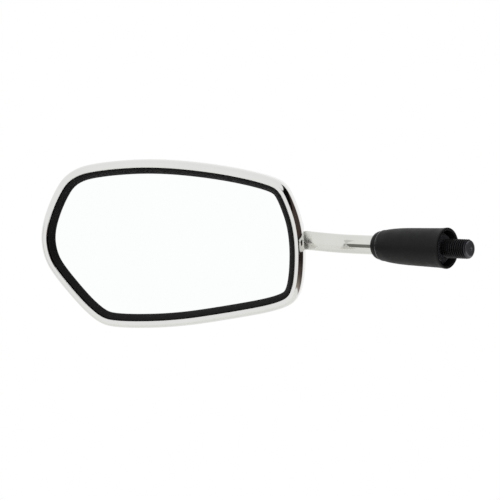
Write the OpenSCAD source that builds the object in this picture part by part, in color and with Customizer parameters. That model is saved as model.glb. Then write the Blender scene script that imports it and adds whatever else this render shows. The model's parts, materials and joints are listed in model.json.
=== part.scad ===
// Motorcycle mirror: six-sided chrome head on a ball joint, bent stem, rubber boot and threaded adapter.
// The origin is the middle of the adapter's shoulder, where it meets the handlebar clamp.
// +X runs along the head towards the stem, the glass faces -Y and +Z is up.

/* [Head opening] */
// Width of the opening that the rim leaves for the gasket and glass
opening_w = 134; // [120:1:150]
// Height of that opening
opening_h = 82; // [72:1:92]

/* [Rim] */
// Width of the rim seen from the front
rim_w = 4.3; // [3.8:0.1:6]
// Width of the rim's flat front strip, up to the crease
rim_crest = 2; // [1.7:0.1:2.3]
// Depth over which the rim's side rounds to its full width
rim_round = 7; // [5:0.5:9]
// Depth of the whole rim, front to back
rim_depth = 11; // [10.6:0.1:14]
// Thickness of the rim's wall
rim_wall = 1.1; // [0.8:0.1:1.2]
// Depth of the hem that turns back along the gasket
rim_hem = 2.4; // [2:0.1:2.8]

/* [Glass and gasket] */
// Depth of the glass face behind the rim's foremost line
glass_depth = 5.5; // [4.5:0.1:6]
// Thickness of the mirror glass
glass_t = 2; // [1.8:0.1:2.6]
// Width of the gasket's front lip
lip_w = 3.4; // [2:0.1:3.8]
// Thickness of the gasket's back flange
flange_t = 1.3; // [1:0.1:1.8]
// Thickness of the backing plate
backing_t = 1.2; // [1:0.1:1.6]

/* [Shell] */
// Thickness of the shell's wall
shell_wall = 2; // [1.6:0.1:2.4]
// Depth of the domed back behind the rim
dome_depth = 21; // [20:0.5:28]
// Squareness of the dome, higher is squarer
dome_power = 3; // [2.6:0.1:3.4]
// Distance from the head's middle to the dome's deepest point
dome_shift = 15; // [8:1:18]

/* [Ball joint] */
// Radius of the ball
ball_r = 6.5; // [6:0.1:7]
// Thickness of the nylon liners on the ball
liner_t = 1.2; // [1:0.1:1.5]
// Wall of the collar that holds the ball
collar_wall = 2; // [1.6:0.1:2.6]
// Distance from the rim's right side to the ball's centre
ball_inset = 8.2; // [8:0.1:9]
// Height of the ball's centre above the head's middle
ball_up = 1.5; // [0:0.1:3]
// Distance from the ball's centre to each clamp screw
clamp_screw_gap = 13; // [12.8:0.1:14]
// Radius of the clamp screws
clamp_screw_r = 2; // [1.5:0.1:2.2]
// Radius of the clamp screws' heads
clamp_head_r = 3.6; // [3.2:0.1:4]
// Thickness of the clamp plate
clamp_t = 2; // [1.6:0.1:2.4]
// Width of the clamp plate's arms
clamp_arm_w = 10; // [9:0.5:12]

/* [Plate screws] */
// Radius of the plate screws and of their bosses' holes
plate_screw_r = 1.5; // [1.2:0.1:1.6]
// Radius of the plate screws' countersunk heads
plate_head_r = 2.7; // [2.4:0.1:3]
// Length of the plate screws
plate_screw_len = 9; // [7:0.5:11]
// Radius of the bosses
boss_r = 3.4; // [3:0.1:4]
// Space between the clamp screws' heads and the nearer bosses
boss_gap = 5; // [3:0.5:8]
// Distance between the nearer and the farther bosses
boss_span = 64; // [50:1:68]
// Height of the bosses above and below the ball's centre
boss_rise = 14; // [12:0.5:16]

/* [Stem] */
// Radius of the stem's rod
rod_r = 5; // [4.8:0.1:5.2]
// Radius of the bend's centre line
bend_r = 28; // [22:1:40]
// Straight length from the ball's centre to the bend
ball_reach = 18; // [16:0.5:30]
// Straight length from the bend to the adapter's shoulder
stud_reach = 58; // [56:1:80]
// Angle in plan from the head's long axis to the stud
stud_swing = 31; // [10:1:60]
// Angle at which the stem falls away from the head
stem_dip = 6; // [2:1:10]

/* [Adapter and lock nut] */
// Radius of the M10 stud over its thread
stud_r = 4.95; // [4.9:0.01:5]
// Length of the stud beyond the shoulder
stud_len = 16; // [12:0.5:24]
// Width across the flats of the adapter and the lock nut
hex_af = 14; // [13:0.5:14.5]
// Length of the adapter's six-sided body
hex_len = 18; // [15:0.5:20]
// Thickness of the lock nut
nut_t = 5.5; // [5:0.5:8]

/* [Boot] */
// Length of the rubber boot
boot_len = 44.5; // [40:0.5:50]
// Length of boot that stands past the adapter's shoulder
boot_lip = 2.4; // [1:0.1:4]
// Outer radius of the boot at its mouth
boot_mouth_r = 10.5; // [10.3:0.1:12]
// Wall of the boot at its mouth
boot_wall = 1.4; // [1:0.1:1.5]
// Outer radius of the boot's shoulder, behind the nose
boot_shoulder_r = 9.5; // [9.2:0.05:9.9]
// Length of the rounded nose, from its end to the shoulder
boot_nose_len = 18; // [15:0.5:20]
// Length of the bore that grips the rod
boot_grip = 4.5; // [3:0.5:6]

/* [Fits] */
// Radial gap of pieces that turn or slide on each other
running_gap = 0.05; // [0.02:0.01:0.1]
// Gap between pieces that are set in each other by hand
set_gap = 0.1; // [0.05:0.05:0.2]
// Gap at seams, so that a thin dark line shows there
seam_gap = 0.2; // [0.1:0.05:0.3]

/* [Hidden] */
$fn = 64;

chrome = [0.86, 0.87, 0.88];
black_rubber = [0.09, 0.09, 0.10];
black_steel = [0.13, 0.13, 0.14];
zinc = [0.70, 0.71, 0.70];
nylon = [0.92, 0.90, 0.84];

// Points that pull the opening's outline, counter-clockwise from the stem side
outline_pull = [[66, 5], [59, 26], [54, 31], [27, 37.5], [-7, 41.5], [-35, 40.5], [-54.5, 37], [-63, 24],
                [-68.9, 8], [-68.2, -4], [-63.2, -14], [-42, -38.5], [-30, -41], [-1, -40.5], [27, -36.5],
                [57.5, -31], [64.5, -25]];
outline_steps = 6;

// Depths behind the rim's foremost line
glass_back = glass_depth + glass_t;
shell_front = glass_back + flange_t;
backing_back = shell_front + backing_t;
shell_seam = rim_depth + seam_gap;
shell_back = shell_seam + dome_depth;

// Offsets from the edge of the opening, outwards positive
shell_out = rim_w - 0.1;
spigot_out = rim_w - rim_wall - seam_gap;
spigot_in = spigot_out - shell_wall;
glass_edge = -0.6;

// Ball joint sizes, along the stem from the ball's centre
seat_r = ball_r + running_gap;
bore_r = seat_r + liner_t + running_gap + seam_gap;
collar_r = bore_r + collar_wall;
seat_front = 0.6 * ball_r;
seat_back = 0.8;
stop_t = 1.1;
mouth_r = rod_r + 2.5;
collar_face = seat_front + stop_t + 0.4;
mouth_end = ball_inset + 1.2;
collar_back = -6;
liner_edge = -3.1;
dish_mouth = -4.2;
plate_front = -9;
plate_back = plate_front - clamp_t;
washer_t = 1.2;
clamp_head_t = 2.4;
ball_flat = 5.6;
ball_tail = -5.4;
spigot_r = 2.5;
shoulder_at = 6.8;
shoulder_neck_r = 3.4;

slot_w = 0.9;
slot_depth = 0.5;

// Stem directions and places: u_ball leaves the ball, u_stud leaves the stud
u_ball = [cos(stem_dip), 0, -sin(stem_dip)];
u_stud = [cos(stud_swing), -sin(stud_swing), 0];
bend = acos(u_ball * u_stud);
bend_tangent = bend_r * tan(bend / 2);
stem_roll = atan2(-sin(stem_dip), cos(stem_dip) * sin(stud_swing));
ball_at = -(stud_reach + bend_tangent) * u_stud - (ball_reach + bend_tangent) * u_ball;

thread_start = -5;
bend_thinning = 0.05;
thread_end = -(hex_len + nut_t + 4);
socket_r = rod_r;
boot_nose = boot_lip - boot_len;
nose_wall = 0.3;
nut_room = 1.1;
boot_throat = -(hex_len + nut_t + nut_room);
lip_flare = 4.5;
boot_waist_r = boot_mouth_r - 0.45;
boot_bore_r = boot_mouth_r - boot_wall - 0.5;

// Nose of the boot: shares of its rise and of its length, with a fine groove at the raised ring
nose_shape = [[0, 0], [0.14, 0.014], [0.28, 0.044], [0.4, 0.09], [0.5, 0.145], [0.57, 0.215], [0.61, 0.26],
              [0.56, 0.28], [0.63, 0.3], [0.71, 0.38], [0.81, 0.51], [0.88, 0.64], [0.94, 0.79], [1, 1]];

// The outline is a chain of curves between the middles of the pulling points' sides
pulls = len(outline_pull);
function raw_pull(i) = outline_pull[(i + pulls) % pulls];
function raw_mid(i) = (raw_pull(i) + raw_pull(i + 1)) / 2;
function raw_point(i, t) =
    (1 - t) * (1 - t) * raw_mid(i - 1) + 2 * t * (1 - t) * raw_pull(i) + t * t * raw_mid(i);
raw_outline = [for (i = [0:pulls - 1]) for (k = [0:outline_steps - 1]) raw_point(i, k / outline_steps)];
raw_w = max([for (p = raw_outline) p[0]]) - min([for (p = raw_outline) p[0]]);
raw_h = max([for (p = raw_outline) p[1]]) - min([for (p = raw_outline) p[1]]);

// The same curves at the size of the opening
function pull(i) = [raw_pull(i)[0] * opening_w / raw_w, raw_pull(i)[1] * opening_h / raw_h];
function mid(i) = (pull(i) + pull(i + 1)) / 2;
function edge_point(i, t) = (1 - t) * (1 - t) * mid(i - 1) + 2 * t * (1 - t) * pull(i) + t * t * mid(i);
function edge_slope(i, t) = (1 - t) * (pull(i) - mid(i - 1)) + t * (mid(i) - pull(i));
function outward(v) = [v[1], -v[0]] / norm(v);
function outline(out) = [for (i = [0:pulls - 1]) for (k = [0:outline_steps - 1]) let (t = k / outline_steps)
    edge_point(i, t) + out * outward(edge_slope(i, t))];
outline_count = pulls * outline_steps;
opening_right = max([for (p = outline(0)) p[0]]);

// A ring of the head: the outline moved outwards, drawn in to a share of its size, at a depth
function head_ring(out, depth, share = 1) =
    [for (p = outline(out)) [p[0] * share + dome_shift * (1 - share), depth, p[1] * share]];

ball_depth = shell_front + collar_r + seam_gap;
ball_in_head = [opening_right + rim_w - ball_inset, ball_depth, ball_up];

// Bosses beyond the clamp screws' heads, above and below the ball's height
boss_near = ball_in_head[0] + plate_back - washer_t - clamp_head_t - boss_gap - boss_r;
boss_at = [for (x = [boss_near - boss_span, boss_near]) for (side = [1, -1]) [x, ball_up + side * boss_rise]];

// Faces between neighbouring rings of n points
function band(first, second, n) = [for (i = [0:n - 1]) let (j = (i + 1) % n)
    each [[first + i, second + i, second + j], [first + i, second + j, first + j]]];
function fan(tip, ring, n) = [for (i = [0:n - 1]) [tip, ring + i, ring + (i + 1) % n]];

// A section [out, depth] carried all the way round the head
module head_sweep(section) {
    m = len(section);
    n = outline_count;
    polyhedron(points = [for (q = section) each head_ring(q[0], q[1])],
               faces = [for (j = [0:m - 1]) each band(j * n, ((j + 1) % m) * n, n)]);
}

// Rings joined from one tip to the other
module head_bowl(rings, first_tip, last_tip) {
    m = len(rings);
    n = outline_count;
    polyhedron(points = [each [for (r = rings) each r], first_tip, last_tip],
               faces = [each [for (j = [0:m - 2]) each band(j * n, (j + 1) * n, n)],
                        each fan(m * n, 0, n),
                        each [for (i = [0:n - 1]) [m * n + 1, (m - 1) * n + (i + 1) % n, (m - 1) * n + i]]]);
}

module in_head() {
    translate(ball_at - ball_in_head) children();
}

module at_ball() {
    translate(ball_at) rotate([0, stem_dip, 0]) children();
}

module at_stud() {
    rotate([0, 0, -stud_swing]) children();
}

module in_stem() {
    at_stud() rotate([stem_roll, 0, 0]) children();
}

// A flat piece of the head from one depth to another
module head_plate(front, back) {
    translate([0, back, 0]) rotate([90, 0, 0]) linear_extrude(back - front) children();
}

// A round bar along +X, and a solid turned about X from points [radius, x]
module bar(from, to, r) {
    translate([from, 0, 0]) rotate([0, 90, 0]) cylinder(h = to - from, r = r);
}

module turned(section) {
    rotate([0, 90, 0]) rotate_extrude() polygon(section);
}

// Depth axis of the head, for screws and bosses
module pin_back(at, front, back, r) {
    translate([at[0], back, at[1]]) rotate([90, 0, 0]) cylinder(h = back - front, r = r);
}

// A ball whose poles lie on the stem's axis
module ball(r) {
    rotate([0, 90, 0]) sphere(r = r);
}

function quarter(steps) = [for (k = [0:steps]) 90 * k / steps];

// Chrome rim: flat front strip, crease, side that rounds to the skirt over the shell, hem along the gasket
module front_rim() {
    side = rim_w - rim_crest;
    edge_r = 0.5;
    strip_fall = 0.25;
    crease = 20;
    section = [each [for (a = quarter(2)) [edge_r * (1 - cos(a)), strip_fall + edge_r * (1 - sin(a))]],
               [rim_crest - 0.15, 0.02],
               [rim_crest + 0.12, 0.06],
               each [for (k = [1:6]) let (a = crease + (90 - crease) * k / 6)
                   [rim_crest + side * (sin(a) - sin(crease)) / (1 - sin(crease)),
                    rim_round * (cos(crease) - cos(a)) / cos(crease)]],
               [rim_w, rim_depth],
               [rim_w - rim_wall, rim_depth],
               each [for (a = quarter(4)) [rim_crest + (side - rim_wall) * cos(a),
                                           rim_wall + (rim_round - rim_wall) * (1 - sin(a))]],
               [rim_wall, rim_wall],
               [rim_wall, rim_hem],
               [0, rim_hem]];
    color(chrome) in_head() head_sweep(section);
}

// Rubber channel that grips the glass and shows as the black band
module glass_gasket() {
    bead_in = -0.2;
    section = [[bead_in, 1.9],
               [bead_in - 0.5, 1.8],
               [-lip_w, glass_depth - 0.4],
               [-lip_w, glass_depth],
               [glass_edge + set_gap, glass_depth],
               [glass_edge + set_gap, glass_back],
               [-lip_w, glass_back],
               [-lip_w, shell_front],
               [spigot_out - 0.9, shell_front],
               [spigot_out - 0.9, rim_hem + 1.4],
               [spigot_out - 1.5, rim_hem + seam_gap],
               [bead_in, rim_hem + seam_gap]];
    color(black_rubber) in_head() head_sweep([for (k = [len(section) - 1:-1:0]) section[k]]);
}

module mirror_glass() {
    color("white") in_head() head_plate(glass_depth, glass_back) polygon(outline(glass_edge));
}

// Foam between the glass and the backing plate, inside the gasket's flange
module foam_pad() {
    color([0.3, 0.3, 0.32]) in_head()
        head_plate(glass_back, shell_front) polygon(outline(-lip_w - set_gap));
}

// Stiff plate behind the foam, with a notch round the ball's collar
module backing_plate() {
    notch = 2 * sqrt(collar_r * collar_r - pow(ball_depth - backing_back - seam_gap, 2)) + 2;
    color([0.2, 0.2, 0.22]) in_head() difference() {
        head_plate(shell_front, backing_back) polygon(outline(spigot_in - seam_gap));
        translate([ball_in_head[0] + collar_back - 1, shell_front - 1, ball_up - notch / 2])
            cube([opening_w, backing_t + 2, notch]);
        for (at = boss_at) {
            pin_back(at, shell_front - 1, backing_back + 1, plate_screw_r + set_gap);
            countersink(at, set_gap);
        }
    }
}

module countersink(at, gap) {
    translate([at[0], shell_front + backing_t, at[1]]) rotate([90, 0, 0]) rotate_extrude()
        polygon([[0, 0], [plate_screw_r + gap, 0], [plate_head_r + gap, backing_t], [0, backing_t]]);
}

// Countersunk screw that holds the backing plate to a boss
module plate_screw(at) {
    color(zinc) in_head() difference() {
        union() {
            countersink(at, 0);
            pin_back(at, shell_front + 0.1, shell_front + plate_screw_len, plate_screw_r);
        }
        for (turn = [0, 90])
            translate([at[0], shell_front, at[1]]) rotate([0, turn, 0])
                cube([1.5 * plate_head_r, 2 * slot_depth, slot_w], center = true);
    }
}

// Domed back with its spigot for the rim, four screw bosses and the ball's collar
module rear_shell() {
    reach = 2 / dome_power;
    turns = [0, 10, 20, 30, 40, 50, 60, 70, 80, 87];
    inner_start = shell_seam + shell_wall;
    inner_depth = dome_depth - 2 * shell_wall;
    dome = [for (k = [len(turns) - 1:-1:0]) let (a = turns[k])
        head_ring(shell_out, shell_seam + dome_depth * pow(sin(a), reach), pow(cos(a), reach))];
    spigot = [head_ring(spigot_out, shell_seam),
              head_ring(spigot_out, shell_front),
              head_ring(spigot_in, shell_front)];
    hollow = [for (a = turns)
        head_ring(shell_out - shell_wall, inner_start + inner_depth * pow(sin(a), reach), pow(cos(a), reach))];
    color(chrome) difference() {
        union() {
            in_head() head_bowl([each dome, each spigot, each hollow],
                                [dome_shift, shell_back, 0],
                                [dome_shift, shell_back - shell_wall, 0]);
            in_head() for (at = boss_at)
                pin_back(at, backing_back, shell_back - shell_wall * 0.8, boss_r);
            at_ball() collar();
        }
        at_ball() collar_hollow();
        in_head() for (at = boss_at)
            pin_back(at, backing_back - 1, shell_front + plate_screw_len + 1, plate_screw_r + running_gap);
    }
}

module collar() {
    round = 1.6;
    turned([[0, collar_back],
            [collar_r, collar_back],
            each [for (a = quarter(4)) [collar_r - round + round * cos(a), collar_face - round + round * sin(a)]],
            [0, collar_face]]);
    for (side = [-1, 1])
        translate([0, 0, side * clamp_screw_gap]) bar(collar_back, 1, clamp_head_r);
}

module collar_hollow() {
    bar(collar_back - 4, seat_front, bore_r);
    bar(seat_front - 1, seat_front + stop_t + 1, bore_r - 2);
    bar(seat_front + stop_t, mouth_end, mouth_r);
    for (side = [-1, 1])
        translate([0, 0, side * clamp_screw_gap]) bar(collar_back - 1, -1, clamp_screw_r + running_gap);
}

// Nylon ring between the ball and the collar's stop
module ball_seat_outer() {
    color(nylon) at_ball() difference() {
        bar(seat_back, seat_front, bore_r - set_gap);
        ball(seat_r);
    }
}

// Nylon cap that the clamp plate presses on the ball
module ball_seat_inner() {
    color(nylon) at_ball() difference() {
        intersection() {
            ball(seat_r + liner_t);
            bar(-2 * ball_r, liner_edge, 2 * ball_r);
        }
        ball(seat_r);
        bar(-2 * ball_r, 0, spigot_r + 0.9);
    }
}

// Dished plate behind the ball, drawn towards the collar by two screws
module clamp_plate() {
    dish_r = seat_r + liner_t + running_gap;
    color(zinc) at_ball() difference() {
        union() {
            bar(plate_front, dish_mouth, bore_r - seam_gap);
            bar(plate_back, plate_front, bore_r + 0.8);
            translate([plate_back, -clamp_arm_w / 2, -clamp_screw_gap])
                cube([clamp_t, clamp_arm_w, 2 * clamp_screw_gap]);
            for (side = [-1, 1])
                translate([0, 0, side * clamp_screw_gap]) bar(plate_back, plate_front, clamp_arm_w / 2);
        }
        ball(dish_r);
        bar(plate_back - 1, 0, spigot_r + 1);
        for (side = [-1, 1])
            translate([0, 0, side * clamp_screw_gap])
                bar(plate_back - 1, plate_front + 1, clamp_screw_r + set_gap);
    }
}

// Split spring washer under a clamp screw's head
module clamp_washer(side) {
    color(zinc) at_ball() translate([0, 0, side * clamp_screw_gap]) difference() {
        bar(plate_back - washer_t, plate_back, clamp_head_r - 0.2);
        bar(plate_back - washer_t - 1, plate_back + 1, clamp_screw_r + set_gap);
        translate([plate_back - washer_t - 1, -slot_w / 2, 0]) cube([washer_t + 2, slot_w, clamp_head_r]);
    }
}

module clamp_screw(side) {
    head_at = plate_back - washer_t;
    color(zinc) at_ball() translate([0, 0, side * clamp_screw_gap]) difference() {
        union() {
            turned([[0, head_at],
                    [clamp_head_r, head_at],
                    [clamp_head_r, head_at - clamp_head_t + 0.8],
                    [clamp_head_r - 0.8, head_at - clamp_head_t],
                    [0, head_at - clamp_head_t]]);
            bar(head_at - 0.5, -2, clamp_screw_r);
        }
        for (turn = [0, 90])
            rotate([turn, 0, 0]) translate([head_at - clamp_head_t, 0, 0])
                cube([4 * slot_depth, 1.2 * clamp_head_r, slot_w], center = true);
    }
}

// Steel ball with a flat at each end, riveted on the stem's spigot
module pivot_ball() {
    color(chrome) at_ball() difference() {
        ball(ball_r);
        bar(ball_flat, 2 * ball_r, ball_r);
        bar(-2 * ball_r, ball_tail, ball_r);
        bar(-2 * ball_r, 2 * ball_r, spigot_r);
    }
}

// Chrome rod with one bend, a spigot for the ball and a threaded lower end
module stem() {
    into_bend = 0.3;
    color(chrome) union() {
        at_ball() turned([[0, ball_tail],
                          [spigot_r, ball_tail],
                          [spigot_r, ball_flat],
                          [shoulder_neck_r, ball_flat],
                          [rod_r, shoulder_at],
                          [rod_r, ball_reach + into_bend],
                          [0, ball_reach + into_bend]]);
        in_stem() translate([-stud_reach, -bend_r, 0]) rotate([0, 0, 90])
            rotate_extrude(angle = bend) translate([bend_r, 0]) circle(r = rod_r - bend_thinning);
        at_stud() bar(-stud_reach - into_bend, thread_end, rod_r);
        at_stud() bar(thread_end - 1, thread_start, rod_r - running_gap);
    }
}

// A six-sided bar along X with both ends turned down at the corners
module hex_bar(from, to) {
    corner_r = hex_af / 2 / cos(30);
    turn_down = 0.9;
    face_r = hex_af / 2 - 0.2;
    intersection() {
        translate([from, 0, 0]) rotate([0, 90, 0]) cylinder(h = to - from, r = corner_r, $fn = 6);
        turned([[0, from],
                [face_r, from],
                [corner_r + 0.2, from + turn_down],
                [corner_r + 0.2, to - turn_down],
                [face_r, to],
                [0, to]]);
    }
}

module lock_nut() {
    color(black_steel) at_stud() difference() {
        hex_bar(-hex_len - nut_t, -hex_len);
        bar(-hex_len - nut_t - 1, -hex_len + 1, socket_r);
    }
}

// Adapter: M10 stud for the handlebar clamp, six-sided body, socket for the stem's thread
module adapter() {
    tip = 1.2;
    color(black_steel) at_stud() difference() {
        union() {
            hex_bar(-hex_len, 0);
            turned([[0, -1],
                    [stud_r, -1],
                    [stud_r, stud_len - tip],
                    [stud_r - tip, stud_len],
                    [0, stud_len]]);
        }
        bar(-hex_len - 1, thread_start + 1, socket_r);
    }
}

// Rubber boot that slides on the stem and covers the nut and the adapter
module stem_boot() {
    nose_r = rod_r + nose_wall;
    rise = boot_shoulder_r - nose_r;
    lip_roll = 1;
    color(black_rubber) at_stud() turned([
        [rod_r + running_gap, boot_nose],
        each [for (q = nose_shape) [nose_r + q[0] * rise, boot_nose + q[1] * boot_nose_len]],
        [boot_waist_r, -lip_flare],
        [boot_waist_r + 0.1 * lip_roll, -1.2 * lip_roll],
        [boot_mouth_r - 0.1 * lip_roll, boot_lip - lip_roll],
        [boot_mouth_r, boot_lip],
        [boot_mouth_r - boot_wall, boot_lip],
        [boot_bore_r, -2 * lip_roll],
        [boot_bore_r, boot_throat],
        [rod_r + running_gap, boot_nose + boot_grip]]);
}

front_rim();
rear_shell();
glass_gasket();
mirror_glass();
foam_pad();
backing_plate();
plate_screw(boss_at[0]);  // plate_screw_1
plate_screw(boss_at[1]);  // plate_screw_2
plate_screw(boss_at[2]);  // plate_screw_3
plate_screw(boss_at[3]);  // plate_screw_4
ball_seat_outer();
ball_seat_inner();
clamp_plate();
clamp_washer(1);  // clamp_washer_upper
clamp_washer(-1);  // clamp_washer_lower
clamp_screw(1);  // clamp_screw_upper
clamp_screw(-1);  // clamp_screw_lower
pivot_ball();
stem();
lock_nut();
stem_boot();
adapter();
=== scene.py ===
import json
import bpy
import bmesh
from math import sin, cos, pi, radians, acos
from mathutils import Matrix, Vector


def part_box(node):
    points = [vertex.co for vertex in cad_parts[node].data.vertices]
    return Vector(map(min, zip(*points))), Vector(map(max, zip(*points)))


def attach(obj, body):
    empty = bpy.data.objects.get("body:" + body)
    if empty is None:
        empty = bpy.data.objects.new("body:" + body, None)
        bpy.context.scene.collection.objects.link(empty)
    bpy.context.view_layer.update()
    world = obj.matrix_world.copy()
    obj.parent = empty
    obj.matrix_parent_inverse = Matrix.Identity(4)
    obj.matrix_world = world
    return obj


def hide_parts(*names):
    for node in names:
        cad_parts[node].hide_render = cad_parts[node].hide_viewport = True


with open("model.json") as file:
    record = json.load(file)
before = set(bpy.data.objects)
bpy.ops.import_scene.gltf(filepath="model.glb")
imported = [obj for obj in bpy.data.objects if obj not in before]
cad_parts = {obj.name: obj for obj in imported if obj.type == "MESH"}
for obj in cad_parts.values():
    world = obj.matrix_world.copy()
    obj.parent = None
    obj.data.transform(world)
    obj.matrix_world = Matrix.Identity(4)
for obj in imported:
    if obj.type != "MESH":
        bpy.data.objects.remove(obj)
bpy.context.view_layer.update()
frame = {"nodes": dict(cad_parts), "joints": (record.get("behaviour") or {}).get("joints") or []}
nodes = frame["nodes"]

mm = 0.001

# Directions and places that everything else is set out from

swing = radians(31)    # the stud points this far from +X towards the glass side
dip = radians(6)       # the stem falls this much as it leaves the ball
studAxis = Vector((cos(swing), -sin(swing), 0))
ballAxis = Vector((cos(dip), 0, -sin(dip)))
ballAt = Vector(next(j["pos_m"] for j in frame["joints"] if j["name"] == "head_tilt"))


# A frame whose +Z is the given direction
def standOn(direction, place=Vector()):
    return Matrix.Translation(place) @ direction.to_track_quat("Z", "Y").to_matrix().to_4x4()


atBall = standOn(ballAxis, ballAt)
atStud = standOn(studAxis)


# Node materials

def srgb(hexColour):
    parts = [int(hexColour[i:i + 2], 16) / 255 for i in (1, 3, 5)]
    return [p / 12.92 if p <= 0.04045 else ((p + 0.055) / 1.055) ** 2.4 for p in parts] + [1]


# One node with its settings, its fixed inputs and its links
def addNode(tree, kind, settings={}, **inputs):
    node = tree.nodes.new(kind)
    for name, value in settings.items():
        setattr(node, name, value)
    for name, value in inputs.items():
        socket = node.inputs[int(name[2:])] if name.startswith("in") and name[2:].isdigit() \
            else node.inputs[name.replace("_", " ")]
        if isinstance(value, bpy.types.NodeSocket):
            tree.links.new(value, socket)
        else:
            socket.default_value = value
    return node


# A material with its shader, and object coordinates in millimetres
def startMaterial(name, colour, roughness, metallic=0.0, specular=0.5):
    material = bpy.data.materials.new(name)
    material.use_nodes = True
    tree = material.node_tree
    shader = tree.nodes["Principled BSDF"]
    shader.inputs["Base Color"].default_value = srgb(colour)
    shader.inputs["Roughness"].default_value = roughness
    shader.inputs["Metallic"].default_value = metallic
    if metallic < 0.5:
        shader.inputs["Specular IOR Level"].default_value = specular
    place = addNode(tree, "ShaderNodeTexCoord").outputs["Object"]
    inMm = addNode(tree, "ShaderNodeMapping", Vector=place, Scale=(1 / mm, 1 / mm, 1 / mm)).outputs[0]
    return material, tree, shader, inMm


# Two colours mixed by a noise whose grains have the given size in millimetres
def mottle(tree, shader, inMm, grain, first, second, detail=3.0):
    noise = addNode(tree, "ShaderNodeTexNoise", Vector=inMm, Scale=1 / grain, Detail=detail)
    mix = addNode(tree, "ShaderNodeMix", {"data_type": "RGBA"}, Factor=noise.outputs[0],
                  in6=srgb(first), in7=srgb(second))
    tree.links.new(mix.outputs[2], shader.inputs["Base Color"])
    return noise


# Roughness that drifts between two values
def haze(tree, shader, inMm, grain, low, high):
    noise = addNode(tree, "ShaderNodeTexNoise", Vector=inMm, Scale=1 / grain, Detail=4.0)
    spread = addNode(tree, "ShaderNodeMapRange", Value=noise.outputs[0], From_Min=0.3, From_Max=0.7,
                     To_Min=low, To_Max=high)
    tree.links.new(spread.outputs[0], shader.inputs["Roughness"])


# Bump from one or more noises, each (grain in millimetres, height in millimetres)
def grainBump(tree, shader, inMm, grains):
    normal = None
    for grain, height in grains:
        noise = addNode(tree, "ShaderNodeTexNoise", Vector=inMm, Scale=1 / grain, Detail=2.0)
        bump = addNode(tree, "ShaderNodeBump", Strength=1.0, Distance=height * mm,
                       Height=noise.outputs[0])
        if normal is not None:
            tree.links.new(normal, bump.inputs["Normal"])
        normal = bump.outputs[0]
    tree.links.new(normal, shader.inputs["Normal"])


# Bands round the stem's parts where the roughness changes or a highlight is painted into the colour, in
# millimetres along the axis of each
bands = {
    "neck": {"middle": 6, "half": 2.2, "soft": 4.5},        # from the ball's centre
    "beadSheen": {"middle": -37.2, "half": 0.7, "soft": 0.3},    # from the stud's shoulder, like the next two
    "shoulder": {"middle": -0.5, "half": 0.5, "soft": 0.1},
    "cutEndHighlight": {"middle": 16, "half": 0.2, "soft": 1.4},
}


# 1 in a band across an axis from a place on it, and 0 past the band's soft edges
def bandAlong(tree, inMm, axis, start, band):
    along = addNode(tree, "ShaderNodeVectorMath", {"operation": "DOT_PRODUCT"}, in0=inMm, in1=axis)
    away = addNode(tree, "ShaderNodeMath", {"operation": "SUBTRACT"}, in0=along.outputs["Value"],
                   in1=start.dot(axis) / mm + band["middle"])
    off = addNode(tree, "ShaderNodeMath", {"operation": "ABSOLUTE"}, in0=away.outputs[0])
    return addNode(tree, "ShaderNodeMapRange", Value=off.outputs[0], From_Min=band["half"],
                   From_Max=band["half"] + band["soft"], To_Min=1.0, To_Max=0.0).outputs[0]


# Another tone, or another roughness, where the mask is 1
def changeTone(tree, shader, mask, tone):
    mix = addNode(tree, "ShaderNodeMix", {"data_type": "RGBA"}, Factor=mask,
                  in6=shader.inputs["Base Color"].links[0].from_socket, in7=srgb(tone))
    tree.links.new(mix.outputs[2], shader.inputs["Base Color"])


def changeRoughness(tree, shader, mask, roughness):
    mix = addNode(tree, "ShaderNodeMix", Factor=mask, in3=roughness,
                  in2=shader.inputs["Roughness"].links[0].from_socket)
    tree.links.new(mix.outputs[0], shader.inputs["Roughness"])


# Chrome plating on moulded plastic: a hard mirror with the faintest orange peel of the plastic below
def platedChrome():
    material, tree, shader, inMm = startMaterial("platedChrome", "#E0E0DE", 0.04, metallic=1.0)
    mottle(tree, shader, inMm, 30, "#DCDCDA", "#E4E4E2")
    haze(tree, shader, inMm, 9, 0.03, 0.06)
    grainBump(tree, shader, inMm, [(3.5, 0.0012)])
    return material


# Chrome on polished steel bar: the same plating over a ground rod, dull in the corner by the ball's neck
def chromedRod():
    material, tree, shader, inMm = startMaterial("chromedRod", "#D8D8D4", 0.05, metallic=1.0)
    mottle(tree, shader, inMm, 14, "#D4D4CF", "#DCDCD8")
    haze(tree, shader, inMm, 5, 0.04, 0.08)
    changeRoughness(tree, shader, bandAlong(tree, inMm, ballAxis, ballAt, bands["neck"]), 0.45)
    grainBump(tree, shader, inMm, [(6, 0.002), (0.8, 0.0001)])
    return material


# Silver on the back of float glass: flat and clear, so it shows only what it faces
def silveredGlass():
    material, tree, shader, inMm = startMaterial("silveredGlass", "#FCFDFD", 0.0, metallic=1.0)
    mottle(tree, shader, inMm, 60, "#FBFDFC", "#FDFEFE")
    return material


# Extruded gasket rubber: dull black with a slight sheen on its bead
def gasketRubber():
    material, tree, shader, inMm = startMaterial("gasketRubber", "#110F10", 0.5, specular=0.12)
    mottle(tree, shader, inMm, 5, "#0D0D0D", "#151415")
    haze(tree, shader, inMm, 3, 0.42, 0.56)
    grainBump(tree, shader, inMm, [(0.5, 0.0015)])
    return material


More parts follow.
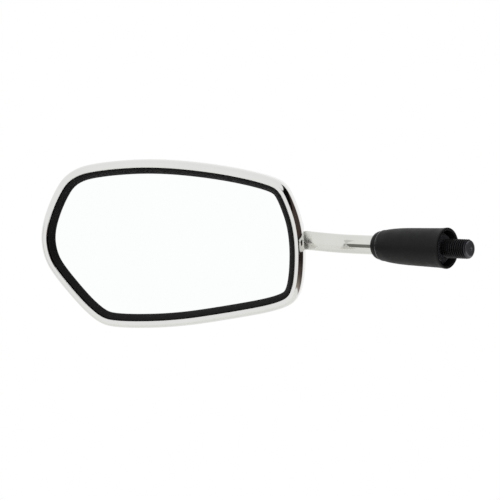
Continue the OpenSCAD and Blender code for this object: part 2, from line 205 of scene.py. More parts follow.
# Moulded boot rubber: satin black with fine tool grain and soft patches, and a shinier bead with a
# painted highlight in a lighter tone
def bootRubber():
    material, tree, shader, inMm = startMaterial("bootRubber", "#0B0B0C", 0.5, specular=0.2)
    mottle(tree, shader, inMm, 7, "#090909", "#0F0F10")
    haze(tree, shader, inMm, 6, 0.44, 0.58)
    beadSheen = bandAlong(tree, inMm, studAxis, Vector(), bands["beadSheen"])
    # Painted highlight: the bead gets a lighter tone that stands in for the sheen on it
    changeTone(tree, shader, beadSheen, "#1C1C1D")
    changeRoughness(tree, shader, beadSheen, 0.2)
    grainBump(tree, shader, inMm, [(2.2, 0.006), (0.4, 0.008)])
    return material


# Black oxide on turned steel: nearly black and oily, with painted highlights as lighter grey on the cut
# end and the shoulder
def blackOxide():
    material, tree, shader, inMm = startMaterial("blackOxide", "#232326", 0.34, metallic=0.75)
    mottle(tree, shader, inMm, 2.5, "#1C1C1E", "#2D2D30")
    # Painted highlight: a lighter grey on the stud's cut end
    changeTone(tree, shader, bandAlong(tree, inMm, studAxis, Vector(), bands["cutEndHighlight"]), "#5E5E63")
    # Painted highlight: a lighter grey on the adapter's shoulder round the stud
    changeTone(tree, shader, bandAlong(tree, inMm, studAxis, Vector(), bands["shoulder"]), "#505055")
    haze(tree, shader, inMm, 1.5, 0.22, 0.36)
    grainBump(tree, shader, inMm, [(0.6, 0.003)])
    return material


# Bright zinc on screws and pressed plate: pale steel with a cloudy shine
def brightZinc():
    material, tree, shader, inMm = startMaterial("brightZinc", "#B9BCBD", 0.3, metallic=1.0)
    mottle(tree, shader, inMm, 3, "#A9ADAF", "#C6C8C6")
    haze(tree, shader, inMm, 1.2, 0.22, 0.4)
    return material


# Moulded natural nylon: waxy off-white that lets a little light in
def mouldedNylon():
    material, tree, shader, inMm = startMaterial("mouldedNylon", "#E6E0D0", 0.42)
    mottle(tree, shader, inMm, 4, "#E1DAC8", "#EBE6D8")
    shader.inputs["Subsurface Weight"].default_value = 0.15
    shader.inputs["Subsurface Radius"].default_value = (1.2 * mm, 1.0 * mm, 0.7 * mm)
    grainBump(tree, shader, inMm, [(0.5, 0.004)])
    return material


# Moulded black ABS for the plate behind the glass: even, slightly grained
def mouldedPlastic():
    material, tree, shader, inMm = startMaterial("mouldedPlastic", "#1E1E20", 0.5)
    mottle(tree, shader, inMm, 6, "#1A1A1C", "#242426")
    grainBump(tree, shader, inMm, [(0.7, 0.01)])
    return material


# Closed-cell foam sheet: charcoal, soft, with the open skin of its cells
def foamSheet():
    material, tree, shader, inMm = startMaterial("foamSheet", "#3A3A3D", 0.9)
    cells = addNode(tree, "ShaderNodeTexVoronoi", Vector=inMm, Scale=1 / 0.9)
    bump = addNode(tree, "ShaderNodeBump", Strength=1.0, Distance=0.15 * mm, Height=cells.outputs[0])
    tree.links.new(bump.outputs[0], shader.inputs["Normal"])
    mottle(tree, shader, inMm, 1.5, "#333336", "#424246")
    return material


chrome = platedChrome()
rodChrome = chromedRod()
oxide = blackOxide()
print("materials made")


# Helpers for bmesh pieces

def smoothShade(bm, sharpAngle):
    for face in bm.faces:
        face.smooth = True
    for edge in bm.edges:
        edge.smooth = len(edge.link_faces) == 2 and edge.calc_face_angle(0) < radians(sharpAngle)


def makePiece(name, bm, sharpAngle=30):
    smoothShade(bm, sharpAngle)
    mesh = bpy.data.meshes.new(name)
    bm.to_mesh(mesh)
    bm.free()
    piece = bpy.data.objects.new(name, mesh)
    bpy.context.scene.collection.objects.link(piece)
    return piece


# Gives a piece its finish, its body and the solids that it stands for
def finishPiece(piece, material, slotName, body, *replaced):
    piece.data.materials.clear()
    piece.data.materials.append(material)
    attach(piece, body)
    if replaced:
        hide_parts(*replaced)
    print("made", piece.name)


# A ring drawn out through all the others in turn; each vertex remembers its number along the ring
def drawRings(rings):
    bm = bmesh.new()
    number = bm.verts.layers.int.new("number")
    first = [bm.verts.new(p) for p in rings[0]]
    for i, vert in enumerate(first):
        vert[number] = i
    loop = [bm.edges.new((first[i - 1], first[i])) for i in range(len(first))]
    for ring in rings[1:]:
        drawn = bmesh.ops.extrude_edge_only(bm, edges=loop)["geom"]
        fresh = {g for g in drawn if isinstance(g, bmesh.types.BMVert)}
        for vert in fresh:
            vert.co = ring[vert[number]]
        loop = [g for g in drawn if isinstance(g, bmesh.types.BMEdge) and set(g.verts) <= fresh]
    return bm, loop


# The outline drawn through a closed section
def drawSection(section):
    rings = [headRing(out, depth) for out, depth in section]
    bm, loop = drawRings(rings + rings[:1])
    bmesh.ops.remove_doubles(bm, verts=bm.verts, dist=1e-7)
    bmesh.ops.recalc_face_normals(bm, faces=bm.faces)
    return bm


# A line of (radius, height) in millimetres, spun round +Z
def spinLine(line, steps, place=None):
    bm = bmesh.new()
    verts = [bm.verts.new((r * mm, 0, h * mm)) for r, h in line]
    edges = [bm.edges.new(pair) for pair in zip(verts, verts[1:])]
    bmesh.ops.spin(bm, geom=verts + edges, cent=(0, 0, 0), axis=(0, 0, 1), angle=2 * pi,
                   steps=steps, use_merge=True)
    bmesh.ops.remove_doubles(bm, verts=bm.verts, dist=1e-7)
    bmesh.ops.recalc_face_normals(bm, faces=bm.faces)
    if place:
        bm.transform(place)
    return bm


# An arc of points about a centre in a (radius, height) section, from one angle to another
def arc(centre, radius, start, end, steps=5):
    angles = [radians(start + (end - start) * k / steps) for k in range(steps + 1)]
    return [(centre[0] + radius * cos(a), centre[1] + radius * sin(a)) for a in angles]


# One solid cut from, added to or kept inside another
def combine(piece, other, operation):
    modifier = piece.modifiers.new(operation, "BOOLEAN")
    modifier.operation = operation
    modifier.object = other
    modifier.solver = "EXACT"
    graph = bpy.context.evaluated_depsgraph_get()
    mesh = bpy.data.meshes.new_from_object(piece.evaluated_get(graph))
    piece.modifiers.clear()
    piece.data = mesh
    bpy.data.objects.remove(other)


def reshade(piece, sharpAngle=30):
    bm = bmesh.new()
    bm.from_mesh(piece.data)
    bmesh.ops.remove_doubles(bm, verts=bm.verts, dist=1e-6)
    bmesh.ops.dissolve_degenerate(bm, dist=1e-7, edges=bm.edges)
    smoothShade(bm, sharpAngle)
    bm.to_mesh(piece.data)
    bm.free()


# The head's outline

head = {
    "pull": ((66, 5), (59, 26), (54, 31), (27, 37.5), (-7, 41.5), (-35, 40.5), (-54.5, 37), (-63, 24),
             (-68.9, 8), (-68.2, -4), (-63.2, -14), (-42, -38.5), (-30, -41), (-1, -40.5), (27, -36.5),
             (57.5, -31), (64.5, -25)),     # points that pull the opening's outline, seen from the front
    "glassInside": 0.6,        # how far the glass's edge lies inside the opening
    "points": 480,
    "fineSteps": 40,
    "easing": 5,               # passes that even out the curve where two stretches meet
}


# The closed curve that the pull points give, in short steps
def drawCurve(pull):
    fine = []
    for i, corner in enumerate(pull):
        start, end = (pull[i - 1] + corner) / 2, (corner + pull[(i + 1) % len(pull)]) / 2
        for k in range(head["fineSteps"]):
            t = k / head["fineSteps"]
            fine.append((1 - t) ** 2 * start + 2 * t * (1 - t) * corner + t ** 2 * end)
    return fine


# The same curve with its points evenly apart, eased where two stretches meet
def spaceEvenly(fine):
    gaps = [(fine[(i + 1) % len(fine)] - fine[i]).length for i in range(len(fine))]
    around = sum(gaps)
    even, passed, i = [], 0, 0
    for k in range(head["points"]):
        target = around * k / head["points"]
        while passed + gaps[i] < target:
            passed += gaps[i]
            i += 1
        even.append(fine[i].lerp(fine[(i + 1) % len(fine)], (target - passed) / gaps[i]))
    for _ in range(head["easing"]):
        even = [(even[k - 1] + 2 * even[k] + even[(k + 1) % len(even)]) / 4 for k in range(len(even))]
    return even


# Points along the opening's edge, fitted to the glass, with the outward directions and the head's middle
def traceOutline():
    fine = drawCurve([Vector(p) for p in head["pull"]])
    glassLow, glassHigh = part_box("mirror_glass")
    inside = head["glassInside"] * mm
    right, left = max(p.x for p in fine), min(p.x for p in fine)
    top, bottom = max(p.y for p in fine), min(p.y for p in fine)
    scaleX = (glassHigh.x - glassLow.x + 2 * inside) / (right - left)
    scaleZ = (glassHigh.z - glassLow.z + 2 * inside) / (top - bottom)
    middle = Vector((glassHigh.x + inside - right * scaleX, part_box("front_rim")[0].y,
                     glassHigh.z + inside - top * scaleZ))
    even = spaceEvenly([Vector((p.x * scaleX, p.y * scaleZ)) for p in fine])
    runs = [(even[(k + 1) % len(even)] - even[k - 1]).normalized() for k in range(len(even))]
    return even, [Vector((run.y, -run.x)) for run in runs], middle


edge, outward, headMiddle = traceOutline()


# One loop round the head: the outline moved out by millimetres, at a depth behind the rim's front
def headRing(out, depth, share=1.0, shift=0.0):
    return [headMiddle + Vector(((p.x + n.x * out * mm) * share + shift * mm * (1 - share),
                                 depth * mm, (p.y + n.y * out * mm) * share))
            for p, n in zip(edge, outward)]


# Chrome rim

rim = {
    "width": 4.3,       # seen from the front
    "crest": 2.0,       # the flat front strip ends in a crease here
    "strip": ((-1.0, 0.12), (-0.5, 0.05), (-0.22, 0.02), (-0.08, 0.02), (0.05, 0.05),
              (0.16, 0.12)),        # (from the crease, depth)
    "edge": 0.5,        # radius of the inner edge
    "fall": 0.25,       # the strip lies back this much at its inner edge
    "crease": 20,       # degrees already turned at the crease
    "round": 7,         # depth over which the side rounds
    "depth": 11,
    "wall": 1.1,
    "skirtRound": 0.3,
    "hem": 2.4,
}


# The rim's section, from its inner edge over the front and down the skirt, then back inside
def rimSection():
    crest, wall, low = rim["crest"], rim["wall"], rim["skirtRound"]
    side = rim["width"] - crest
    start = radians(rim["crease"])
    inner = arc((rim["edge"], rim["fall"] + rim["edge"]), rim["edge"], 180, 270)
    strip = [(crest + across, depth) for across, depth in rim["strip"]]
    sideTurns = [start + (pi / 2 - start) * k / 16 for k in range(2, 17)]
    outer = [(crest + side * (sin(a) - sin(start)) / (1 - sin(start)),
              rim["round"] * (cos(start) - cos(a)) / cos(start)) for a in sideTurns]
    skirt = arc((rim["width"] - low, rim["depth"] - low), low, 0, 90, 3)
    hollowTurns = [radians(15 * k) for k in range(7)]
    hollow = [(crest + (side - wall) * cos(a), wall + (rim["round"] - wall) * (1 - sin(a)))
              for a in hollowTurns]
    hem = [(wall, wall), (wall, rim["hem"]), (0, rim["hem"])]
    return inner + strip + outer + skirt + [(rim["width"] - wall, rim["depth"])] + hollow + hem


finishPiece(makePiece("rimChrome", drawSection(rimSection()), 24), chrome, "chrome_plating", "head",
            "front_rim")


# Rubber gasket between the rim and the glass

gasket = {
    "section": ((-0.2, 2.55), (-0.22, 2.1), (-0.32, 1.9), (-0.55, 1.8), (-0.85, 1.88), (-1.15, 2.14),
                (-1.8, 2.85), (-2.5, 3.75), (-3.1, 4.6), (-3.33, 5.0), (-3.4, 5.3), (-3.4, 5.48),
                (-0.5, 5.5), (-0.5, 7.5), (-3.4, 7.5), (-3.4, 8.8), (2.1, 8.8), (2.1, 3.8),
                (1.5, 2.6)),        # (out from the opening's edge, depth), with the glass's groove
}


finishPiece(makePiece("glassGasket", drawSection(gasket["section"]), 40), gasketRubber(), "black_rubber",
            "head", "glass_gasket")


# Domed back with its spigot, the ball's collar and the bosses

shell = {
    "out": 4.2,          # beyond the opening's edge, where the dome meets the rim
    "seam": 11.2,
    "dome": 21,
    "power": 3,
    "shift": 15,         # the dome is deepest here, towards the stem
    "wall": 2,
    "spigotOut": 3.0,
    "spigotIn": 1.0,
    "spigotFront": 8.8,
    "rings": 56,
    "innerRings": 20,
    "flatShare": 0.05,   # the very middle is flat and closed by one face
}

collar = {
    "back": -6,
    "face": 5.4,
    "radius": 10.0,
    "round": 1.6,
    "bore": 8.0,
    "boreStart": -10,    # past the collar's back, so that the bore is open there
    "seatEnd": 3.9,
    "stopEnd": 5.0,
    "stopBore": 6.0,
    "mouth": 7.5,
    "mouthEnd": 9.4,
    "screwGap": 13,      # the clamp screws' lugs stand this far from the ball's axis
    "lugRadius": 3.6,
    "lugBack": -5.97,    # a hair off the collar's back, so that the two faces don't lie in one plane
    "lugFace": 1,
    "lugBore": 2.05,
    "lugBoreEnd": -1,
}

boss = {
    "radius": 3.4,
    "boreFront": 9,
    "front": 10,
    "back": 30.6,        # past the dome's inside, so that each boss grows out of its wall
    "bore": 1.55,
    "boreEnd": 18.8,
}


# Rings of the dome from its edge to its flat middle, closer together at both ends of the curve
def domeRings(out, start, deep, count):
    reach = 2 / shell["power"]
    rings = []
    for k in range(count + 1):
        t = k / count * (1 - shell["flatShare"])
        turn = pi / 2 * t ** 1.5 / (t ** 1.5 + (1 - t) ** 1.5)
        depth = start + deep * sin(turn) ** reach
        rings.append(headRing(out, depth, cos(turn) ** reach, shell["shift"]))
    return rings


# The section of a plain bar or bore
def barLine(start, end, radius):
    return [(0, start), (radius, start), (radius, end), (0, end)]


# Several turned solids in one mesh, each a (line, place)
def turnAll(name, solids, steps):
    whole = bmesh.new()
    for line, place in solids:
        turned = spinLine(line, steps, place)
        part = bpy.data.meshes.new(name)
        turned.to_mesh(part)
        turned.free()
        whole.from_mesh(part)
        bpy.data.meshes.remove(part)
    return makePiece(name, whole)


# The hollow dome, open towards the glass inside its spigot
def makeDome():
    wall = shell["wall"]
    outer = domeRings(shell["out"], shell["seam"], shell["dome"], shell["rings"])
    inner = domeRings(shell["out"] - wall, shell["seam"] + wall, shell["dome"] - 2 * wall,
                      shell["innerRings"])
    step = [headRing(out, depth) for out, depth in (
        (shell["out"] - 0.15, shell["seam"] - 0.02), (shell["spigotOut"], shell["seam"]),
        (shell["spigotOut"], shell["spigotFront"]), (shell["spigotIn"], shell["spigotFront"]))]
    bm, last = drawRings(outer[::-1] + step + inner)
    bmesh.ops.edgeloop_fill(bm, edges=last)
    bmesh.ops.edgeloop_fill(bm, edges=[e for e in bm.edges if e.is_boundary])
    bmesh.ops.recalc_face_normals(bm, faces=bm.faces)
    return makePiece("shellChrome", bm)


# The dome joined with the collar, its lugs and the bosses, and then bored
def makeShell():
    c = collar
    body = [(0, c["back"]), (c["radius"], c["back"])]
    body += arc((c["radius"] - c["round"], c["face"] - c["round"]), c["round"], 0, 90, 8)
    body += [(0, c["face"])]
    hollow = [(0, c["boreStart"]), (c["bore"], c["boreStart"]), (c["bore"], c["seatEnd"]),
              (c["stopBore"], c["seatEnd"]), (c["stopBore"], c["stopEnd"]), (c["mouth"], c["stopEnd"]),
              (c["mouth"], c["mouthEnd"]), (0, c["mouthEnd"])]
    lug = barLine(c["lugBack"], c["lugFace"], c["lugRadius"])
    lugBore = barLine(c["back"] - 1, c["lugBoreEnd"], c["lugBore"])
    post = barLine(boss["front"], boss["back"], boss["radius"])
    postBore = barLine(boss["boreFront"], boss["boreEnd"], boss["bore"])

    aside = Vector((sin(dip), 0, cos(dip))) * c["screwGap"] * mm
    lugsAt = [standOn(ballAxis, ballAt + aside * side) for side in (-1, 1)]
    screws = [sum(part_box("plate_screw_" + str(k)), Vector()) / 2 for k in range(1, 5)]
    bossesAt = [standOn(Vector((0, 1, 0)), Vector((s.x, headMiddle.y, s.z))) for s in screws]

    inside = makePiece("collarBody", spinLine(body, 128, atBall))
    combine(inside, turnAll("lugs", [(lug, at) for at in lugsAt], 48), "UNION")
    combine(inside, turnAll("bosses", [(post, at) for at in bossesAt], 48), "UNION")
    piece = makeDome()
    combine(piece, inside, "UNION")
    bores = [(postBore, at) for at in bossesAt] + [(lugBore, at) for at in lugsAt]
    combine(piece, turnAll("hollows", [(hollow, atBall)] + bores, 96), "DIFFERENCE")
    reshade(piece, 26)
    finishPiece(piece, chrome, "chrome_plating", "head", "rear_shell")


makeShell()


# Chromed stem: ball shoulder, straight, one bend, straight to the thread

stem = {
    "rod": 5.0,
    "neck": 3.4,
    "flat": 5.6,         # the ball seats here, this far from its centre
    "shoulder": 6.8,
    "tail": -5.4,
    "spigot": 2.5,
    "ballReach": 18,     # from the ball's centre to the bend
    "studReach": 58,     # from the bend to the adapter's shoulder
    "bend": 28,
    "threadEnd": 27.5,
    "threadStart": 5,
    "chamfer": 0.6,      # from the rod down to the thread
    "sides": 96,
}


def makeStem():
    line = [(0, stem["tail"]), (stem["spigot"], stem["tail"]), (stem["spigot"], stem["flat"]),
            (stem["neck"], stem["flat"]), (stem["neck"] + 0.2, stem["flat"] + 0.1),
            (stem["rod"] - 0.25, stem["shoulder"] - 0.2), (stem["rod"], stem["shoulder"] + 0.3),
            (stem["rod"], stem["ballReach"])]
    bm = spinLine(line, stem["sides"], atBall)
    turn = acos(ballAxis.dot(studAxis))
    axis = ballAxis.cross(studAxis).normalized()
    bendStart = ballAt + ballAxis * stem["ballReach"] * mm
    centre = bendStart + axis.cross(ballAxis) * stem["bend"] * mm
    rimEdges = [e for e in bm.edges if e.is_boundary]
    rimVerts = list({v for e in rimEdges for v in e.verts})
    spun = bmesh.ops.spin(bm, geom=rimVerts + rimEdges, cent=centre, axis=axis, angle=turn, steps=40)
    loop = [g for g in spun["geom_last"] if isinstance(g, bmesh.types.BMEdge)]
    chamfer = stem["chamfer"]
    for length, shrink in ((stem["studReach"] - stem["threadEnd"], 0), (chamfer, chamfer),
                           (stem["threadEnd"] - stem["threadStart"] - chamfer, 0)):
        drawn = bmesh.ops.extrude_edge_only(bm, edges=loop)["geom"]
        verts = [g for g in drawn if isinstance(g, bmesh.types.BMVert)]
        loop = [g for g in drawn if isinstance(g, bmesh.types.BMEdge)
                and all(v in verts for v in g.verts)]
        bmesh.ops.translate(bm, verts=verts, vec=studAxis * length * mm)
        if shrink:
            middle = sum((v.co for v in verts), Vector()) / len(verts)
            bmesh.ops.scale(bm, verts=verts, vec=[1 - shrink / stem["rod"]] * 3,
                            space=Matrix.Translation(-middle))
    bmesh.ops.edgeloop_fill(bm, edges=loop)
    bmesh.ops.recalc_face_normals(bm, faces=bm.faces)
    finishPiece(makePiece("stemRod", bm), rodChrome, "chrome_plating", "stem", "stem")


makeStem()


# Rubber boot

boot = {
    "nose": -42.1,       # where the two ends lie along the stud's axis
    "lip": 2.4,
    "bore": 5.05,
    "noseLine": ((5.3, 0.0), (5.62, 0.1), (5.9, 0.28), (6.2, 0.52), (6.5, 0.85), (6.78, 1.2),
                 (7.02, 1.65), (7.26, 2.15), (7.46, 2.75), (7.56, 3.35), (7.6, 3.8), (7.62, 4.05),
                 (7.68, 4.2), (7.8, 4.4), (7.94, 4.62), (8.07, 4.86), (8.15, 5.12), (8.17, 5.36),
                 (8.15, 5.6), (8.16, 6.0), (8.28, 6.8), (8.52, 8.0), (8.72, 9.3), (8.9, 10.7),
                 (9.06, 12.2), (9.22, 13.9), (9.37, 15.8), (9.5, 18.0),
                 (9.62, 20.5)),     # (radius, distance from the nose), with the bead about 5 from it
    "waist": (10.05, -4.5),
    "flare": ((10.07, -3.2), (10.12, -1.9), (10.22, -0.6), (10.34, 0.6), (10.44, 1.2)),
    "mouth": 10.5,
    "mouthDepth": -2,
    "outerRound": 0.7,
    "innerRound": 0.5,
    "wall": 1.4,
    "inner": 8.6,
    "grip": 4.5,
    "throat": -24.6,
}


def makeBoot():
    nose, lip, mouth = boot["nose"], boot["lip"], boot["mouth"]
    line = [(boot["bore"], nose + 0.3), (boot["bore"] + 0.25, nose)]
    line += [(r, nose + d) for r, d in boot["noseLine"]]
    line += [boot["waist"]] + list(boot["flare"])
    outside, inside = boot["outerRound"], boot["innerRound"]
    line += arc((mouth - outside, lip - outside), outside, 0, 90, 7)
    line += arc((mouth - boot["wall"] + inside, lip - inside), inside, 90, 180, 5)
    line += [(mouth - boot["wall"] - 0.05, lip - 1.2), (boot["inner"], boot["mouthDepth"]),
             (boot["inner"], boot["throat"]), (boot["bore"], nose + boot["grip"]),
             (boot["bore"], nose + 0.3)]
    bm = spinLine(line, 160, atStud)
    finishPiece(makePiece("bootRubber", bm, 35), bootRubber(), "black_rubber", "boot", "stem_boot")


makeBoot()


# Adapter: six-sided body with its threaded stud

adapter = {
    "flats": 14,
    "length": 18,
    "turnDown": 0.9,
    "socket": 5.0,
    "socketEnd": 4,      # the socket stops this far behind the shoulder
    "stud": 4.95,
    "studLength": 16,
    "pitch": 1.25,
    "threadDepth": 0.75,
    "relief": 1.3,       # plain neck between the shoulder and the thread
    "runOut": 0.9,       # length over which the thread grows from the neck
    "tip": 2.2,          # radius that rounds the stud's end
    "dimple": 0.9,       # the lathe's centre mark
    "stepsPerTurn": 64,
}


# A screw thread as one turned skin, cut square at both ends
def threadedBar(start, end):
    bm = bmesh.new()
    pitch, crest = adapter["pitch"], adapter["stud"]
    root = crest - adapter["threadDepth"]
    line = ((root, 0), (root, pitch / 4), (crest, pitch * 9 / 16), (crest, pitch * 11 / 16),
            (root, pitch))
    verts = [bm.verts.new((r * mm, 0, (start - pitch + h) * mm)) for r, h in line]
    edges = [bm.edges.new(pair) for pair in zip(verts, verts[1:])]
    turns = int((end - start) / pitch) + 3
    steps = adapter["stepsPerTurn"]
    bmesh.ops.spin(bm, geom=verts + edges, cent=(0, 0, 0), axis=(0, 0, 1), angle=2 * pi * turns,
                   dvec=(0, 0, pitch * mm / steps), steps=turns * steps)
    bmesh.ops.remove_doubles(bm, verts=bm.verts, dist=2e-6)
    for height, side in ((start, -1), (end, 1)):
        bmesh.ops.bisect_plane(bm, geom=bm.verts[:] + bm.edges[:] + bm.faces[:],
                               plane_co=(0, 0, height * mm), plane_no=(0, 0, side), clear_outer=True)
        rimEdges = [e for e in bm.edges if e.is_boundary
                    and all(abs(v.co.z - height * mm) < 1e-7 for v in e.verts)]
        bmesh.ops.edgeloop_fill(bm, edges=rimEdges)
    bmesh.ops.recalc_face_normals(bm, faces=bm.faces)
    bm.transform(atStud)
    return bm


# The six-sided body, turned down at both ends, with its socket
def makeBody():
    a = adapter
    corner = a["flats"] / 2 / cos(pi / 6)
    flat = a["flats"] / 2 - 0.2
    bm = bmesh.new()
    made = bmesh.ops.create_cone(bm, cap_ends=True, segments=6, radius1=corner * mm, radius2=corner * mm,
                                 depth=a["length"] * mm)
    bmesh.ops.translate(bm, verts=made["verts"], vec=(0, 0, -a["length"] / 2 * mm))
    bm.transform(atStud)
    piece = makePiece("adapterOxide", bm)
    turned = [(0, -a["length"]), (flat, -a["length"]), (corner + 0.2, a["turnDown"] - a["length"]),
              (corner + 0.2, -a["turnDown"]), (flat, 0), (0, 0)]
    combine(piece, makePiece("turnedBlank", spinLine(turned, 96, atStud)), "INTERSECT")
    socket = barLine(-a["length"] - 1, -a["socketEnd"], a["socket"])
    combine(piece, makePiece("socketCutter", spinLine(socket, 96, atStud)), "DIFFERENCE")
    return piece


# The thread, drawn too long and trimmed by a round-ended blank, on its plain neck
def makeStud():
    a = adapter
    stud = makePiece("studThread", threadedBar(a["relief"] - 0.6, a["studLength"] + 0.5))
    root, around = a["stud"] - a["threadDepth"], a["stud"] + 0.1
    growth = a["relief"] - 0.1
    blank = [(0, 0), (root - 0.05, 0), (root - 0.05, growth), (around, growth + a["runOut"]),
             (around, a["studLength"] - a["tip"] - 1)]
    blank += arc((around - a["tip"], a["studLength"] - a["tip"]), a["tip"], 0, 90, 8)
    blank += [(a["dimple"], a["studLength"]), (0, a["studLength"] - a["dimple"])]
    combine(stud, makePiece("studBlank", spinLine(blank, 96, atStud)), "INTERSECT")
    neck = barLine(-1, a["relief"] + 0.4, root - 0.1)
    combine(stud, makePiece("studNeck", spinLine(neck, 96, atStud)), "UNION")
    return stud


def makeAdapter():
    piece = makeBody()
    combine(piece, makeStud(), "UNION")
    reshade(piece, 28)
    finishPiece(piece, oxide, "black_steel", "mount", "adapter")


makeAdapter()


# The solids that stay get their own finishes

def dress(material, slotName, *names):
    for name in names:
        nodes[name].data.materials.clear()
        nodes[name].data.materials.append(material)


dress(silveredGlass(), "silvered_glass", "mirror_glass")
dress(foamSheet(), "grey_foam", "foam_pad")
dress(mouldedPlastic(), "dark_plastic", "backing_plate")
dress(mouldedNylon(), "white_nylon", "ball_seat_outer", "ball_seat_inner")
dress(brightZinc(), "zinc_steel", "plate_screw_1", "plate_screw_2", "plate_screw_3", "plate_screw_4",
      "clamp_plate", "clamp_screw_upper", "clamp_screw_lower", "clamp_washer_upper",
      "clamp_washer_lower")
dress(rodChrome, "chrome_plating", "pivot_ball")
dress(oxide, "black_steel", "lock_nut")
print("solids dressed")


# Studio: a white room whose dark cards show only in what shines, and a pale floor

studio = {
    "floor": "#F4F4F2",
    "floorDrop": 0.3,        # metres below the stud
    "floorReach": 0.6,
    "fill": 0.85,            # what the white room gives every surface
    "keyPower": 4.0,
    "keySize": 0.7,
    "keyAt": (-0.05, -0.35, 0.9),
    "behind": 0.97,          # tone of the room past the object, as its edges mirror it
    "behindFrom": 0.6,       # share of the way back at which the room has that tone
}

# Dark cards of the room: from and to, in degrees right of the front, then in degrees of height
cards = {
    "rightSide": {"across": (27, 150), "height": (-20, 34), "soft": (2, 4),
                  "tones": ((-20, "#968C86"), (-12, "#5A4E48"), (-7, "#2A2220"), (1, "#1C1614"),
                            (3, "#463A36"), (17, "#463A36"), (19, "#0B0A0A"))},
    "leftSide": {"across": (-90, -67), "height": (-27, 3), "soft": (11, 7),
                 "tones": ((-28, "#7A7A76"), (0, "#7A7A76"))},
}       # each tone goes with a height in degrees


# 1 between low and high and 0 past them, over soft
def fadeBetween(tree, value, low, high, soft):
    rising = addNode(tree, "ShaderNodeMapRange", {"interpolation_type": "SMOOTHSTEP"}, Value=value,
                     From_Min=low - soft, From_Max=low)
    falling = addNode(tree, "ShaderNodeMapRange", {"interpolation_type": "SMOOTHSTEP"}, Value=value,
                      From_Min=high, From_Max=high + soft, To_Min=1.0, To_Max=0.0)
    return addNode(tree, "ShaderNodeMath", {"operation": "MULTIPLY"}, in0=rising.outputs[0],
                   in1=falling.outputs[0]).outputs[0]


# Tones read off by height, each (degrees, tone)
def readByHeight(tree, heightTurn, tones):
    lowest, highest = tones[0][0] - 1, tones[-1][0] + 1
    step = addNode(tree, "ShaderNodeMapRange", Value=heightTurn, From_Min=lowest, From_Max=highest)
    ramp = addNode(tree, "ShaderNodeValToRGB", Fac=step.outputs[0])
    stops = ramp.color_ramp.elements
    while len(stops) < len(tones):
        stops.new(0.5)
    for stop, (turn, tone) in zip(stops, tones):
        stop.position = (turn - lowest) / (highest - lowest)
        stop.color = srgb(tone)
    return ramp.outputs[0]


def makeRoom():
    world = bpy.data.worlds.new("studioRoom")
    bpy.context.scene.world = world
    world.use_nodes = True
    tree = world.node_tree
    direction = addNode(tree, "ShaderNodeTexCoord").outputs["Generated"]
    parts = addNode(tree, "ShaderNodeSeparateXYZ", Vector=direction).outputs
    front = addNode(tree, "ShaderNodeMath", {"operation": "MULTIPLY"}, in0=parts["Y"], in1=-1.0)
    across = addNode(tree, "ShaderNodeMath", {"operation": "ARCTAN2"}, in0=parts["X"],
                     in1=front.outputs[0])
    height = addNode(tree, "ShaderNodeMath", {"operation": "ARCSINE"}, in0=parts["Z"])
    acrossTurn, heightTurn = [addNode(tree, "ShaderNodeMath", {"operation": "DEGREES"},
                                      in0=angle.outputs[0]).outputs[0] for angle in (across, height)]

    room = addNode(tree, "ShaderNodeMapRange", Value=parts["Y"], From_Min=0.0,
                   From_Max=studio["behindFrom"], To_Min=1.0, To_Max=studio["behind"]).outputs[0]
    for card in cards.values():
        inside = addNode(tree, "ShaderNodeMath", {"operation": "MULTIPLY"},
                         in0=fadeBetween(tree, acrossTurn, *card["across"], card["soft"][0]),
                         in1=fadeBetween(tree, heightTurn, *card["height"], card["soft"][1]))
        room = addNode(tree, "ShaderNodeMix", {"data_type": "RGBA"}, Factor=inside.outputs[0], in6=room,
                       in7=readByHeight(tree, heightTurn, card["tones"])).outputs[2]

    rays = addNode(tree, "ShaderNodeLightPath").outputs
    shining = addNode(tree, "ShaderNodeMix", {"data_type": "RGBA"}, Factor=rays["Is Glossy Ray"],
                      in6=[studio["fill"]] * 3 + [1], in7=room)
    shown = addNode(tree, "ShaderNodeMix", {"data_type": "RGBA"}, Factor=rays["Is Camera Ray"],
                    in6=shining.outputs[2], in7=(1, 1, 1, 1))
    tree.links.new(shown.outputs[2], tree.nodes["Background"].inputs["Color"])


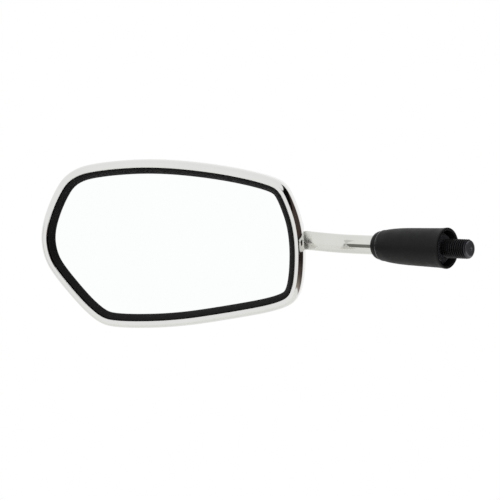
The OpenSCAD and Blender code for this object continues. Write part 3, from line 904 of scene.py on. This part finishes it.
# The floor, and a soft lamp above the front that gives it the object's shadow
def makeFloorAndLamp():
    bm = bmesh.new()
    bmesh.ops.create_circle(bm, cap_ends=True, segments=96, radius=studio["floorReach"])
    bm.transform(Matrix.Translation((headMiddle.x / 2, 0, -studio["floorDrop"])))
    floor = makePiece("floor", bm)
    paper, tree, shader, inMm = startMaterial("floorPaper", studio["floor"], 0.8)
    mottle(tree, shader, inMm, 60, "#F2F2F0", "#F6F6F4")
    floor.data.materials.append(paper)

    light = bpy.data.lights.new("keySoftbox", "AREA")
    light.energy, light.size = studio["keyPower"], studio["keySize"]
    lamp = bpy.data.objects.new("keySoftbox", light)
    bpy.context.scene.collection.objects.link(lamp)
    spot = Vector(studio["keyAt"])
    lamp.matrix_world = standOn(spot, spot)
    lamp.visible_glossy = False


makeRoom()
makeFloorAndLamp()
print("room, floor and lamp made")


# Camera at the photograph's place, worked out for a picture 500 pixels wide

view = {
    "picture": 500,
    "focal": 1600,             # pixels
    "azimuth": 9,              # degrees towards the stem's side
    "elevation": 4.5,
    "roll": -1.0,
    "distance": 848,           # millimetres from the camera to the head's middle, along the view
    "middleAt": (172, 245),    # the head's middle in the picture
}


def makeCamera():
    a, e, roll = radians(view["azimuth"]), radians(view["elevation"]), radians(view["roll"])
    look = Vector((-sin(a) * cos(e), cos(a) * cos(e), -sin(e)))
    level = Vector((cos(a), sin(a), 0))
    rise = level.cross(look)
    right = level * cos(roll) + rise * sin(roll)
    up = rise * cos(roll) - level * sin(roll)
    away = view["distance"] * mm
    aside = (view["middleAt"][0] - view["picture"] / 2) / view["focal"] * away
    below = (view["middleAt"][1] - view["picture"] / 2) / view["focal"] * away
    place = headMiddle - look * away - right * aside + up * below
    data = bpy.data.cameras.new("photoCamera")
    data.sensor_width = 36
    data.lens = data.sensor_width * view["focal"] / view["picture"]
    camera = bpy.data.objects.new("photoCamera", data)
    bpy.context.scene.collection.objects.link(camera)
    camera.matrix_world = Matrix.Translation(place) @ Matrix((right, up, -look)).transposed().to_4x4()
    bpy.context.scene.camera = camera


makeCamera()
bpy.context.scene.view_settings.view_transform = "Standard"
print("camera placed")
